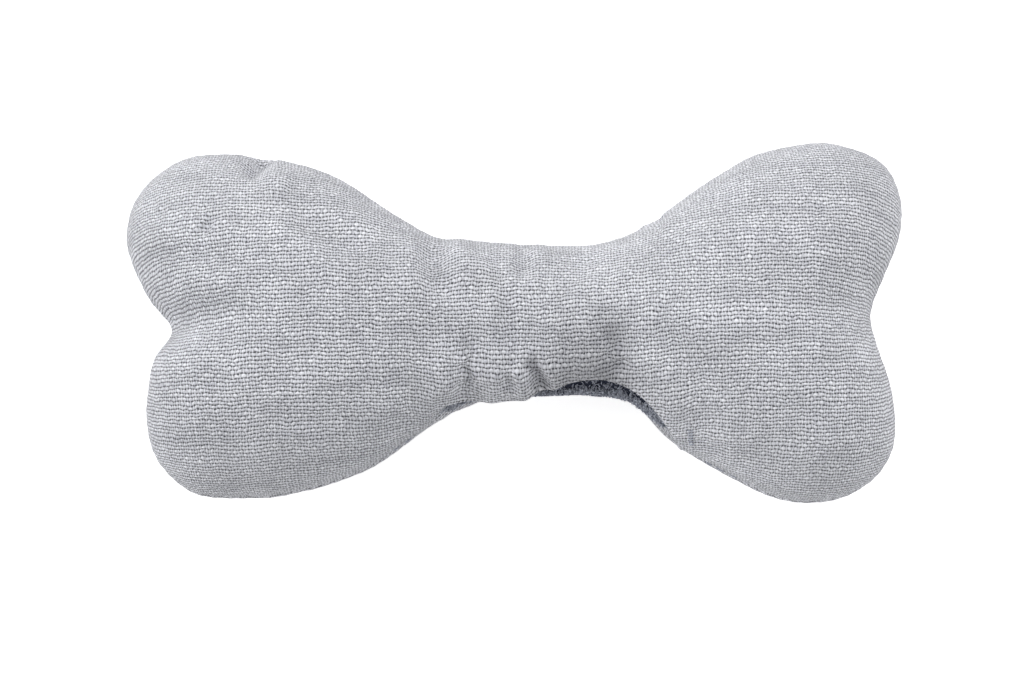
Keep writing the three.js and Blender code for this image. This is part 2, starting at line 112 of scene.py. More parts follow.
# The square of cloth that a panel's map covers
CUT_SQUARE = 200 * MM


def smooth(x, low, high):
    t = np.clip((x - low) / (high - low), 0, 1)
    return t * t * (3 - 2 * t)


def lerp(a, b, t):
    return a + (b - a) * t


def spline(values, place, closed):
    """A smooth value between evenly spaced ones, on a closed ring or on an open row."""
    values = np.asarray(values, float)
    count = len(values)
    index = np.floor(place).astype(int)
    if not closed:
        index = np.clip(index, 0, count - 2)
    t = place - index

    def at(k):
        return values[(index + k) % count if closed else np.clip(index + k, 0, count - 1)]

    a, b, c, d = at(-1), at(0), at(1), at(2)
    return b + 0.5 * t * (c - a + t * (2 * a - 5 * b + 4 * c - d + t * (3 * (b - c) + d - a)))


SIDES = lerp(WAIST_HALF, SHOULDER_HALF, np.array((FAR_SIDE_SHARES, NEAR_SIDE_SHARES[::-1])))
FANS = KNOB_REACH * np.array((RIGHT_FAN_SHARES, LEFT_FAN_SHARES))
RING = np.concatenate((SIDES[0], FANS[0], SIDES[1], FANS[1]))
QUARTER = len(FAR_SIDE_SHARES) - 1


def reach_at(place):
    return spline(RING, place % len(RING), True)


def rise_at(x):
    """Half thickness: least at the waist, level past the spine's ends."""
    span = np.where(x < WAIST_PLACE, SPINE_HALF + WAIST_PLACE, SPINE_HALF - WAIST_PLACE)
    return lerp(WAIST_RISE, END_RISE, smooth(np.abs(x - WAIST_PLACE) / span, 0, 1))


def near_place(x):
    return 3 * QUARTER - QUARTER * (x + SPINE_HALF) / (2 * SPINE_HALF)


def opening_at(x):
    """How far the mouth is open, 0 past its corners and 1 along the tapes."""
    return smooth(x, MOUTH_START, TAPE_START) * (1 - smooth(x, TAPE_END, MOUTH_END))


def parting_at(x):
    return np.clip((opening_at(x) - PARTING_SHARE) / (1 - PARTING_SHARE), 0, 1)


def mouth_line(shares, x):
    place = (len(shares) - 1) * (x - MOUTH_START) / (MOUTH_END - MOUTH_START)
    return RIGHT_ANGLE * spline(shares, np.clip(place, 0, len(shares) - 1), False)


def lip_angle(x):
    return lerp(RIGHT_ANGLE, mouth_line(LIP_SHARES, x), parting_at(x))


def closing_angle(x):
    return lerp(RIGHT_ANGLE, mouth_line(CLOSING_SHARES, x), parting_at(x))


def along_cloth(length, x):
    return length / reach_at(near_place(x))


def loop_low(x):
    return closing_angle(x) - along_cloth(PIECE_GAP, x)


def loop_high(x):
    return loop_low(x) - along_cloth(LOOP_WIDTH, x)


def underlap_top(x):
    return loop_high(x) - along_cloth(UNDERLAP_MARGIN, x)


# The lip's edge in its middle, as a share of a right angle, and its root above it
ROOT_SHARE = 0.68
ROOT_ANGLE = ROOT_SHARE * RIGHT_ANGLE - along_cloth(FLAP_DEPTH, np.float64(MOUTH_CENTRE))


def lift_shape(angle):
    start = ROOT_ANGLE - along_cloth(HOOK_MARGIN, np.float64(MOUTH_CENTRE))
    end = ROOT_ANGLE + along_cloth(HOOK_WIDTH, np.float64(MOUTH_CENTRE))
    return smooth(angle, start, end)


def front_lift(x, angle):
    return LIP_LIFT * opening_at(x) * lift_shape(angle)


def back_recess(x, angle):
    close = closing_angle(x)
    sinking = opening_at(x) * (1 - smooth(angle, close, close + along_cloth(RECESS_LENGTH, x)))
    return sinking * (UNDERLAP_DEPTH - LIP_LIFT * lift_shape(angle))


class Rays:
    """Places of a panel's plane as rays from the spine: foot, heading, reach and rise of each."""

    def __init__(self, flat):
        x, y = np.asarray(flat, float).T
        self.x = np.clip(x, -SPINE_HALF, SPINE_HALF)
        out = x - self.x
        self.distance = np.hypot(out, y)
        station = QUARTER * (x + SPINE_HALF) / (2 * SPINE_HALF)
        self.near = (out == 0) & (y < 0)
        self.place = np.select(
            [out > 0, out < 0, self.near],
            [QUARTER * (1 + np.arctan2(out, y) / math.pi), QUARTER * (3 + np.arctan2(-out, -y) / math.pi),
             3 * QUARTER - station], station)
        self.heading = np.column_stack((out, y)) / np.maximum(self.distance, 1e-12)[:, None]
        self.finish()

    def finish(self):
        self.reach = reach_at(self.place)
        self.rise = rise_at(self.x)
        middle = (TURNS[1:] + TURNS[:-1]) / 2
        speed = np.hypot(np.outer(self.reach, np.cos(middle)), np.outer(self.rise, np.sin(middle)))
        self.lengths = np.pad(np.cumsum(speed * TURNS[1], axis=1), ((0, 0), (1, 0)))

    def length_to(self, angle):
        """Length along the cloth from the spine to an angle of each ray's section."""
        k = np.clip(angle / TURNS[1], 0, ARC_STEPS - 1 - 1e-9)
        low = np.floor(k).astype(int)
        rows = np.arange(len(low))
        return lerp(self.lengths[rows, low], self.lengths[rows, low + 1], k - low)

    def angle_at(self, length):
        k = np.clip((self.lengths <= length[:, None]).sum(1) - 1, 0, ARC_STEPS - 2)
        rows = np.arange(len(k))
        low, high = self.lengths[rows, k], self.lengths[rows, k + 1]
        return (k + np.clip((length - low) / (high - low), 0, 1)) * TURNS[1]

    def point(self, angle, depth, front):
        """The skin's point at an angle from the top, or from the bottom, and a depth below it."""
        out = (self.reach - depth) * np.sin(angle)
        up = (self.rise - depth) * np.cos(angle)
        if not front:
            up = -np.minimum(up, END_RISE - REST_DEPTH - np.maximum(depth, 0))
        return np.column_stack((self.x + out * self.heading[:, 0], out * self.heading[:, 1], up))


class RingRays(Rays):
    """Rays at given places of the ring."""

    def __init__(self, places):
        self.place = np.asarray(places, float) % (4 * QUARTER)
        k = self.place / QUARTER
        along = 2 * SPINE_HALF * (k % 1)
        self.x = np.select(
            [k < 1, k < 2, k < 3], [along - SPINE_HALF, SPINE_HALF, SPINE_HALF - along], -SPINE_HALF)
        self.near = (k >= 2) & (k < 3)
        bearing = RIGHT_ANGLE - math.pi * np.select([k < 1, k < 2, k < 3], [0, k - 1, 1], k - 2)
        self.heading = np.column_stack((np.cos(bearing), np.sin(bearing)))
        self.finish()


def edge_angle(rays, front):
    """Where a panel ends, measured from the panel's own middle."""
    x = rays.x
    if front:
        return np.where(rays.near, lip_angle(x), RIGHT_ANGLE)
    top = lerp(closing_angle(x), underlap_top(x), parting_at(x))
    return np.where(rays.near, math.pi - top, RIGHT_ANGLE)


# The seam: even places round the ring, their rays, its points there and the length run along it
SEAM_PLACES = np.linspace(0, 4 * QUARTER, SEAM_STEPS, endpoint=False)
SEAM_RAYS = RingRays(SEAM_PLACES)
SEAM = SEAM_RAYS.point(np.full(SEAM_STEPS, RIGHT_ANGLE), 0, True)
SEAM_RUN = np.append(0, np.cumsum(np.linalg.norm(np.roll(SEAM, -1, axis=0) - SEAM, axis=1)))
SEAM_LENGTH = SEAM_RUN[-1]

# How far it is sewn: 1 all round, and 0 along the mouth
SEAM_SEWN = 1 - np.where(SEAM_RAYS.near, smooth(parting_at(SEAM_RAYS.x), 0, 0.25), 0)

# From the spine's frame to the object's, whose origin is the middle of the footprint
SEAM_MIDDLE = (SEAM.max(0) + SEAM.min(0)) / 2
OBJECT_SHIFT = np.array((-SEAM_MIDDLE[0], -SEAM_MIDDLE[1], END_RISE - REST_DEPTH))


def ring_places():
    """Places of the ring about a cell of cloth apart along the seam."""
    count = int(round(SEAM_LENGTH / CLOTH_CELL))
    return np.interp(np.arange(count) * SEAM_LENGTH / count, SEAM_RUN, np.append(SEAM_PLACES, 4 * QUARTER))


def skin_of(flat, front):
    """Where places of a panel's cut lie before the stuffing works on them."""
    rays = Rays(flat)
    angle = rays.angle_at(rays.distance)
    if front:
        depth = np.where(rays.near, -front_lift(rays.x, angle), 0)
    else:
        depth = np.where(rays.near, back_recess(rays.x, math.pi - angle), 0)
    return rays.point(angle, depth, front)


def distances(points, others):
    """How far each point is from the nearest of the others, and which one that is."""
    points, others = (np.pad(p, ((0, 0), (0, 3 - p.shape[1]))) for p in (points, others))
    tree = kdtree.KDTree(len(others))
    for i, other in enumerate(others):
        tree.insert(other, i)
    tree.balance()
    _, index, away = zip(*[tree.find(point) for point in points])
    return np.array(away), np.array(index)


def cut_edge(ring, front):
    """The edge of a panel's cut, at rays of the ring."""
    reach = ring.length_to(edge_angle(ring, front))
    return np.column_stack((ring.x, np.zeros(len(reach)))) + ring.heading * reach[:, None]


def cut_panel(ring, front):
    """A panel as it is cut: its edge at rays of the ring, then a triangular lattice within."""
    edge = cut_edge(ring, front)
    low, high = edge.min(0), edge.max(0)
    columns = np.arange(low[0], high[0], CLOTH_CELL)
    rows = np.arange(low[1], high[1], CLOTH_CELL * math.sin(math.radians(60)))
    lattice = np.vstack([
        np.column_stack((columns + CLOTH_CELL / 2 * (i % 2), np.full(len(columns), y)))
        for i, y in enumerate(rows)])
    rays = Rays(lattice)
    lattice = lattice[rays.distance < rays.length_to(edge_angle(rays, front))]
    flat = np.vstack((edge, lattice[distances(lattice, edge)[0] > EDGE_MARGIN]))
    _, _, faces, origins, _, _ = geometry.delaunay_2d_cdt(
        [Vector(p) for p in flat], [], [list(range(len(edge)))], 1, 1e-9)
    return flat, [[origins[k][0] for k in face] for face in faces]


def new_object(name, data):
    made = bpy.data.objects.new(name, data)
    scene.collection.objects.link(made)
    return made


def new_piece(name, points, faces):
    mesh = bpy.data.meshes.new(name)
    mesh.from_pydata([tuple(p) for p in points], [], faces)
    mesh.polygons.foreach_set("use_smooth", [True] * len(mesh.polygons))
    mesh.update()
    return new_object(name, mesh)


def make_bag():
    """Both panels sewn into one bag, open at the mouth, with each panel's cut as its UV map."""
    ring = RingRays(ring_places())
    front_flat, front_faces = cut_panel(ring, True)
    back_flat, back_faces = cut_panel(ring, False)
    points = np.vstack((skin_of(front_flat, True), skin_of(back_flat, False)))
    index = np.arange(len(back_flat)) + len(front_flat)
    sewn = np.flatnonzero(~(ring.near & (parting_at(ring.x) > 0)))
    index[sewn] = sewn
    bag = new_piece("bag", points, front_faces + [index[face][::-1].tolist() for face in back_faces])
    mesh = bag.data
    flats = [front_flat[face] for face in front_faces] + [back_flat[face][::-1] for face in back_faces]
    mesh.uv_layers.new(name="cut").uv.foreach_set(
        "vector", (np.vstack(flats) / CUT_SQUARE + 0.5).astype(np.float32).ravel())
    mesh.attributes.new("panel", "INT", "FACE").data.foreach_set(
        "value", [0] * len(front_faces) + [1] * len(back_faces))
    work = bmesh.new()
    work.from_mesh(mesh)
    bmesh.ops.delete(work, geom=[v for v in work.verts if not v.link_faces], context="VERTS")
    work.to_mesh(mesh)
    work.free()
    return bag


# The bag as cloth: how it is simulated, and how far its points may move
SIM_SCALE = 10
SIM_FRAMES = 20
SIM_PRESSURE = 8
SIM_GROWTH = 0.03
HELD_FROM, HELD_TO = 4 * MM, 12 * MM
MOVE_CAP = 1.6 * MM
DRIFT_PASSES = 60
DRIFT_KEPT = 0.1


def read(rows, field, width, kind=np.float32):
    """One field of every row of a mesh's data, so many numbers wide."""
    values = np.empty(len(rows) * width, kind)
    rows.foreach_get(field, values)
    return values.reshape(-1, width) if width > 1 else values


def coordinates(mesh):
    return read(mesh.vertices, "co", 3).astype(float)


def outward(mesh):
    return read(mesh.vertex_normals, "vector", 3).astype(float)


def place_vertices(mesh, points):
    mesh.vertices.foreach_set("co", points.astype(np.float32).ravel())
    mesh.update()


def spread(mesh, values):
    """Values at the vertices, evened out along the cloth."""
    a, b = read(mesh.edges, "vertices", 2, np.int32).T
    count = np.bincount(np.append(a, b), minlength=len(values))
    for _ in range(DRIFT_PASSES):
        total = np.column_stack([
            np.bincount(a, column[b], len(values)) + np.bincount(b, column[a], len(values))
            for column in values.T])
        values = lerp(values, total / count[:, None], 0.5)
    return values


def apply_modifiers(piece):
    bpy.ops.object.select_all(action="DESELECT")
    bpy.context.view_layer.objects.active = piece
    piece.select_set(True)
    for modifier in list(piece.modifiers):
        bpy.ops.object.modifier_apply(modifier=modifier.name)


def open_edge(mesh):
    """The vertices on the mesh's open edge."""
    work = bmesh.new()
    work.from_mesh(mesh)
    found = [vertex.index for vertex in work.verts if vertex.is_boundary]
    work.free()
    return found


def swell(bag):
    """The stuffing pushes the cloth out while the tapes hold the mouth, so it wrinkles round it."""
    mesh = bag.data
    rest = coordinates(mesh)
    away, _ = distances(rest, rest[open_edge(mesh)])
    held = bag.vertex_groups.new(name="held")
    for i, share in enumerate(1 - smooth(away, HELD_FROM, HELD_TO)):
        if share > 0:
            held.add([i], float(share), "REPLACE")
    mesh.transform(Matrix.Scale(SIM_SCALE, 4))
    cloth = bag.modifiers.new("stuffing", "CLOTH")
    settings = cloth.settings
    for name, value in (
            ("quality", 5), ("mass", 0.01), ("tension_stiffness", 15), ("compression_stiffness", 15),
            ("shear_stiffness", 5), ("bending_stiffness", 10), ("use_pressure", True),
            ("uniform_pressure_force", SIM_PRESSURE), ("shrink_min", -SIM_GROWTH),
            ("vertex_group_mass", held.name)):
        setattr(settings, name, value)
    settings.effector_weights.gravity = 0
    cloth.collision_settings.use_collision = False
    cloth.point_cache.frame_start = 1
    cloth.point_cache.frame_end = SIM_FRAMES
    for number in range(1, SIM_FRAMES + 1):
        scene.frame_set(number)
    apply_modifiers(bag)
    scene.frame_set(1)
    bag.vertex_groups.clear()
    move = coordinates(mesh) / SIM_SCALE - rest
    move -= (1 - DRIFT_KEPT) * spread(mesh, move)
    length = np.maximum(np.linalg.norm(move, axis=1), 1e-12)
    move *= np.minimum(1, MOVE_CAP / length)[:, None]
    place_vertices(mesh, rest + move)


# The seam's groove, its stitches, the puckers between them and the gathers that run in from it
SEAM_DEPTH, SEAM_WIDTH = 0.9 * MM, 0.8 * MM
STITCHES = round(SEAM_LENGTH / (2.8 * MM))
SEAM_THREAD, TACK_THREAD = 0.13 * MM, 0.11 * MM
STITCH_HALF, STITCH_SLANT, STITCH_RISE, STITCH_SUNK = 0.9 * MM, 0.55 * MM, 0.28 * MM, 0.12 * MM
STITCH_STEPS = (-1, -0.6, -0.2, 0.2, 0.6, 1)
PUCKER_DEPTH, PUCKER_FADE = 0.1 * MM, 2 * MM
GATHER_DEPTH, GATHER_START, GATHER_REACH = 0.32 * MM, 1.5 * MM, 15 * MM
LUMP_DEPTH = 0.35 * MM

# Layers of noise for the gathers, how they come and go, the lumps and the tufts: share, wave, seed
GATHERS = ((0.65, 7 * MM, 3), (0.35, 7 * MM / 2.3, 5))
GATHER_CHANGES = ((0.45, 30 * MM, 7),)
LUMPS = ((0.6, 16 * MM, 11), (0.4, 8 * MM, 13))
TUFTS = ((0.6, 6 * MM, 41), (0.4, 6 * MM / 2.5, 43))


def noise(points, wave, seed):
    """Smooth lattice noise from -1 to 1 at points of one, two or three dimensions."""
    scaled = np.atleast_2d(points.T).T / wave + 137 * seed + 1000
    low = np.floor(scaled).astype(np.int64)
    part = scaled - low
    part = part * part * (3 - 2 * part)
    total = np.zeros(len(scaled))
    for corner in range(2 ** scaled.shape[1]):
        bits = np.array([(corner >> k) & 1 for k in range(scaled.shape[1])])
        share = np.prod(np.where(bits, part, 1 - part), axis=1)
        key = ((low + bits) * np.array([374761393, 668265263, 2147483647])[:scaled.shape[1]]).sum(1)
        key = (key ^ (key >> 13)) * 1274126177 % 4294967296
        total += share * (((key ^ (key >> 16)) % 65536) / 32767.5 - 1)
    return total


def layered(points, layers):
    return sum(share * noise(points, wave, seed) for share, wave, seed in layers)


def flat_places(mesh):
    """Each vertex's place on its panel's cut, read back from the map."""
    flat = np.zeros((len(mesh.vertices), 2))
    corner = read(mesh.loops, "vertex_index", 1, np.int32)
    flat[corner] = (read(mesh.uv_layers["cut"].uv, "vector", 2) - 0.5) * CUT_SQUARE
    return flat


def panel_of(mesh):
    """Each vertex's panel: 0 the front, 1 the back."""
    panel = np.zeros(len(mesh.vertices), int)
    corner = read(mesh.loops, "vertex_index", 1, np.int32)
    owner = read(mesh.attributes["panel"].data, "value", 1, np.int32)
    panel[corner] = np.repeat(owner, read(mesh.polygons, "loop_total", 1, np.int32))
    return panel


# How far the front lip is drawn in against the tape, where its hook tape is short: station, depth in mm
TUCKS = ((-21, 0), (-16, 0.9), (-7.5, 0.85), (-5, 0.3), (3, 0.2), (8, 0))
TUCK_REACH = 7 * MM

# How much of a fold each layer under the lip is spared, and how level cloth is where it folds fully
HOOK_SLACK, LOOP_SLACK, UNDERLAP_SLACK = 0.25 * MM, 0.6 * MM, 0.9 * MM
FOLD_LEVEL = 0.3

# Folds of the front as the camera sees them: the line each follows in mm, then depth, width and shoulder
FOLDS = (
    (((-48.2, 38.4), (-50.4, 34.6), (-53.8, 31)), 2.6, 2, 0),
    (((-50, 31.4), (-44, 28.4)), -0.9, 2.8, 0),
    (((0.6, 17.4), (2.1, 13.1), (0.2, 8.9)), 1, 1.6, 0.2),
    (((-1.6, 9.5), (-1.7, 4.5), (-1.2, -0.5), (-0.9, -4.5), (-0.9, -9.5)), 0.9, 1.4, 0.4),
    (((-16.4, 18.2), (-15.6, 11.8), (-14.8, 4.4)), 1.4, 2.4, 0.4),
    (((-9.5, -1.5), (-9.7, -8.5), (-10.2, -16.5)), 1.7, 2.2, 0.4),
    (((-5.2, -2.6), (-5, -7.5), (-5.4, -12.5)), 0.7, 1.5, 0.4),
    (((2.2, -6.2), (4, -10.2), (5.6, -14.2)), 2.4, 1.7, 0.4),
    (((-1.3, -6), (-1.4, -9.5), (-1.4, -13.4)), 0.9, 1.4, 0.3),
    (((18.6, 0.6), (19.4, -3.6), (20, -7.4), (20.4, -11.4)), 1.8, 2.6, 0.3),
    (((4, 1.8), (11, 1), (18, 1.4)), -1.2, 4.8, 0),
    (((-74, -6), (-66, -7), (-58, -8)), -1.2, 6, 0),
    (((7, -13.6), (13.5, -12.2), (21.5, -12.4)), 0.8, 4.6, 0),
    (((22.6, 3.6), (32, 0.4), (46, -2.6)), -1.2, 5, 0.2),
    (((-14, 16), (-6, 11), (4.6, 6.2)), -0.9, 2.8, 0.2),
    (((-61.6, 21.6), (-59.6, 20.2)), 1.2, 2.2, 0.1),
    (((-76, 16.5), (-68, 14.6), (-60, 15.2), (-52, 12)), 1.1, 3, 0.3),
    (((-44, 26), (-38, 19.5), (-27, 14.5)), 1, 2.6, 0.4),
    (((29.2, 23), (27.6, 18.2)), 1.2, 1.2, 0.3),
    (((-74, 2.6), (-62, 2.2), (-50, 0.4)), 1.2, 6.5, 0),
)


def beside(points, line):
    """How far points are from a line of corners, and how far along it, from 0 to 1."""
    line = np.asarray(line, float)
    starts, steps = line[:-1], np.diff(line, axis=0)
    lengths = np.linalg.norm(steps, axis=1)
    best = np.full(len(points), np.inf)
    along = np.zeros(len(points))
    for start, step, length, before in zip(starts, steps, lengths, np.cumsum(lengths) - lengths):
        t = np.clip(((points - start) @ step) / length ** 2, 0, 1)
        gap = np.linalg.norm(points - start - t[:, None] * step, axis=1)
        nearer = gap < best
        best = np.where(nearer, gap, best)
        along = np.where(nearer, (before + t * length) / lengths.sum(), along)
    return best, along


def folded(points):
    """How deep the named folds press the front at points of the object's frame."""
    depth = np.zeros(len(points))
    up = (points[:, 1] - AIM.y) * math.sin(VIEW_HEIGHT) + (points[:, 2] - AIM.z) * math.cos(VIEW_HEIGHT)
    seen = np.column_stack((points[:, 0], AIM.y + up))
    for line, deepest, width, shoulder in FOLDS:
        corners = curved(np.array(line) * MM)
        gap, along = beside(seen, corners)
        gap = gap / (width * MM)
        profile = np.exp(-gap ** 2) - shoulder * np.exp(-(gap - 2) ** 2)
        depth += deepest * MM * profile * smooth(along, -0.05, 0.25) * (1 - smooth(along, 0.7, 1.05))
    return depth


def curved(line):
    """The same line with more corners, rounded."""
    if len(line) < 3:
        return line
    place = np.linspace(0, len(line) - 1, 8 * (len(line) - 1) + 1)
    return np.column_stack([spline(column, place, False) for column in line.T])


def work_cloth(mesh):
    """Seam, puckers, gathers, folds and the lumps of the stuffing, pressed into the bag."""
    points, normals = coordinates(mesh), outward(mesh)
    flat, panel = flat_places(mesh), panel_of(mesh)
    push = np.zeros(len(points))
    for front in (True, False):
        own = panel == (0 if front else 1)
        away, k = distances(flat[own], cut_edge(SEAM_RAYS, front))
        turn = SEAM_RUN[k] / SEAM_LENGTH * 2 * math.pi
        ringed = np.column_stack((np.cos(turn), np.sin(turn))) * SEAM_LENGTH / 2 / math.pi
        pucker = np.cos(turn * STITCHES)
        gather = layered(ringed, GATHERS) * (0.55 + layered(ringed, GATHER_CHANGES))
        groove = SEAM_DEPTH * np.exp(-(away / SEAM_WIDTH) ** 2)
        fine = PUCKER_DEPTH * pucker * np.exp(-away / PUCKER_FADE)
        wide = GATHER_DEPTH * gather * (1 - smooth(away, 0, GATHER_REACH)) * smooth(away, 0, GATHER_START)
        push[own] = SEAM_SEWN[k] * (fine + wide - groove)
        if front:
            rays = Rays(flat[own])
            left = rays.length_to(edge_angle(rays, True)) - rays.distance
            tuck = np.interp(rays.x / MM, *zip(*TUCKS)) * MM
            push[own] -= tuck * rays.near * (1 - smooth(left, 0, TUCK_REACH))
    # The lumps are less on the sides, where the cloth is pulled tight
    push += LUMP_DEPTH * layered(points, LUMPS) * lerp(0.35, 1, smooth(np.abs(normals[:, 2]), 0, 0.5))
    pressed = folded(points + OBJECT_SHIFT) * smooth(normals[:, 2], 0, FOLD_LEVEL)
    push -= np.where(panel == 0, pressed, np.maximum(pressed - UNDERLAP_SLACK, 0))
    worked = points + normals * push[:, None]
    worked[:, 2] = np.maximum(worked[:, 2], -OBJECT_SHIFT[2])
    place_vertices(mesh, worked)


# The turned hem of the mouth
HEM_THICKNESS = 1.9 * MM
HEM_FLAT, HEM_REACH = 0.4 * MM, 2.2 * MM
RIM_STEPS = 4


def split_panel(bag, front, name):
    """One panel of the worked bag as its own closed shell of cloth, its mouth edge rolled."""
    mesh = bag.data
    points, normals = coordinates(mesh), outward(mesh)
    cut, owner = mesh.uv_layers["cut"].uv, mesh.attributes["panel"].data
    own = [face for face in mesh.polygons if owner[face.index].value == (0 if front else 1)]
    lip = open_edge(mesh)
    used = sorted({k for face in own for k in face.vertices})
    order = {k: i for i, k in enumerate(used)}
    outer = points[used]
    away, _ = distances(outer, points[lip])
    opening = parting_at(Rays(flat_places(mesh)).x[used])
    turned = (1 - smooth(away, HEM_FLAT, HEM_REACH)) * smooth(opening, 0, 0.3)
    inner = outer - normals[used] * lerp(CLOTH, HEM_THICKNESS, turned)[:, None]
    count = len(used)
    corners = [*outer, *inner]
    faces, maps, border = [], [], {}
    for polygon in own:
        face = [order[k] for k in polygon.vertices]
        place = [tuple(cut[k].vector) for k in polygon.loop_indices]
        faces += [face, [k + count for k in face][::-1]]
        maps += [place, place[::-1]]
        for a, b, map_a, map_b in zip(face, face[1:] + face[:1], place, place[1:] + place[:1]):
            if (b, a) in border:
                del border[b, a]
            else:
                border[a, b] = (map_a, map_b)
    # Round the rim from the outer edge to the inner one, bulging where the lip is free
    ways = {a: [] for a, _ in border}
    for a, b in border:
        for k in (a, b):
            way = np.cross(outer[b] - outer[a], normals[used[k]])
            ways[k].append(way / max(np.linalg.norm(way), 1e-12))
    ring, free = {}, set(lip)
    for k in ways:
        way = np.mean(ways[k], axis=0)
        way /= max(np.linalg.norm(way), 1e-12)
        middle, half = (outer[k] + inner[k]) / 2, (outer[k] - inner[k]) / 2
        bulge = np.linalg.norm(half) * (used[k] in free)
        ring[k] = [k, *range(len(corners), len(corners) + RIM_STEPS - 1), k + count]
        for step in range(1, RIM_STEPS):
            turn = math.pi * step / RIM_STEPS
            corners.append(middle + half * math.cos(turn) + way * bulge * math.sin(turn))
    map_step = CLOTH / RIM_STEPS / CUT_SQUARE
    for (a, b), (map_a, map_b) in border.items():
        for i in range(RIM_STEPS):
            faces.append([ring[b][i], ring[a][i], ring[a][i + 1], ring[b][i + 1]])
            maps.append([(u, v - map_step * j) for (u, v), j in (
                (map_b, i), (map_a, i), (map_a, i + 1), (map_b, i + 1))])
    piece = new_piece(name, np.array(corners) + OBJECT_SHIFT, faces)
    piece.data.uv_layers.new(name="cut").uv.foreach_set(
        "vector", np.concatenate(maps).astype(np.float32).ravel())
    return piece


bag = make_bag()
swell(bag)
halving = bag.modifiers.new("halving", "SUBSURF")
halving.levels = 1
apply_modifiers(bag)
work_cloth(bag.data)
front_cover = split_panel(bag, True, "front_cover")
back_cover = split_panel(bag, False, "back_cover")
bpy.data.meshes.remove(bag.data)


# The tapes: a woven backing, and loops or hooks standing on it
BACKING, HOOK_BACKING = 0.5 * MM, 0.35 * MM
TAPE_CELL = 0.7 * MM
HOOK_START, HOOK_END = FLAP_START + HOOK_MARGIN, FLAP_END - HOOK_MARGIN
HOOK_SHY = 0.9 * MM
LOOP_COUNT, LOOP_SPAN, LOOP_RADIUS = 4600, 1.1 * MM, 0.075 * MM
HOOK_COUNT, HOOK_SPAN, HOOK_RADIUS = 420, 0.5 * MM, 0.07 * MM
FRAY_COUNT, FRAY_STEPS, FRAY_RADIUS = 60, 8, 0.085 * MM

# Where loops are thinned and lowered so the near-black ground shows as the lip's painted shadow: fades
# above and below its edge, and the right end's
SHADOW_BAND_ABOVE, SHADOW_BAND_BELOW = (1.6 * MM, 2.4 * MM), (2.8 * MM, 8.5 * MM)
SHADOW_BAND_RIGHT = (TAPE_END - 5 * MM, TAPE_END - 1 * MM)
SHADOW_BAND_SHARE, SHADOW_BAND_RIGHT_SPARED = 0.88, 0.8


def near_point(x, angle, depth, slack):
    """A point of the near side, pressed by the lip's folds less a slack, and the direction outwards."""
    rays = RingRays(near_place(x))
    point = rays.point(angle, depth, True)
    out = point - rays.point(angle, depth + 0.1 * MM, True)
    out /= np.linalg.norm(out, axis=1)[:, None]
    skin = rays.point(angle, -front_lift(x, angle), True) + OBJECT_SHIFT
    press = np.maximum(folded(skin) - slack, 0)
    return point + OBJECT_SHIFT - out * press[:, None], out


def loop_place(along, across, height):
    """The loop tape: along and across from 0 to 1, height above the back panel's lip."""
    x = lerp(TAPE_START, TAPE_END, along)
    angle = lerp(loop_high(x), loop_low(x), across)
    depth = back_recess(x, np.minimum(angle, closing_angle(x))) - PIECE_GAP - height
    return near_point(x, angle, depth, LOOP_SLACK)


def hook_place(along, across, height):
    """The hook tape: height below the inside of the front lip, with the direction inwards."""
    x = lerp(HOOK_START, HOOK_END, along)
    high = ROOT_ANGLE + along_cloth(HOOK_MARGIN, x)
    low = np.minimum(high + along_cloth(HOOK_WIDTH, x), lip_angle(x) - along_cloth(HOOK_SHY, x))
    angle = lerp(high, low, across)
    depth = CLOTH + PIECE_GAP + height - front_lift(x, angle)
    point, out = near_point(x, angle, depth, HOOK_SLACK)
    return point, -out


def strip(name, place, length, width, thickness, outward_first):
    """A tape's backing as a closed sheet with square cut ends."""
    columns, rows = round(length / TAPE_CELL), round(width / TAPE_CELL)
    along, across = np.meshgrid(np.linspace(0, 1, columns + 1), np.linspace(0, 1, rows + 1), indexing="ij")
    along, across = along.ravel(), across.ravel()
    count = len(along)
    top, bottom = place(along, across, thickness)[0], place(along, across, 0)[0]
    if not outward_first:
        top, bottom = bottom, top
    index = np.arange(count).reshape(columns + 1, rows + 1).tolist()
    faces = []
    for low, high in zip(index, index[1:]):
        for j in range(rows):
            quad = [low[j], low[j + 1], high[j + 1], high[j]]
            faces += [quad, [k + count for k in quad][::-1]]
    ring = [row[0] for row in index[:-1]] + index[-1][:-1]
    ring += [row[-1] for row in index[:0:-1]] + index[0][:0:-1]
    faces += [[a, b, b + count, a + count] for a, b in zip(ring, ring[1:] + ring[:1])]
    return new_piece(name, np.vstack((top, bottom)), faces)


def tubes(name, lines, radius, sides=3):
    """Threads as thin tubes along lines of points, all in one mesh with closed ends."""
    corners, faces = [], []
    for line in lines:
        line = np.asarray(line, float)
        ahead = np.gradient(line, axis=0)
        ahead /= np.maximum(np.linalg.norm(ahead, axis=1), 1e-12)[:, None]
        start = np.cross(ahead[0], (0.31, 0.53, 0.79))
        base = len(corners)
        for point, way in zip(line, ahead):
            start = start - way * start.dot(way)
            start /= np.linalg.norm(start)
            other = np.cross(way, start)
            for k in range(sides):
                turn = 2 * math.pi * k / sides
                corners.append(point + radius * (math.cos(turn) * start + math.sin(turn) * other))
        last = len(corners) - sides
        for first in range(base, last, sides):
            for k in range(sides):
                a, b = first + k, first + (k + 1) % sides
                faces.append([a, b, b + sides, a + sides])
        faces += [list(range(base, base + sides))[::-1], list(range(last, last + sides))]
    return new_piece(name, corners, faces)


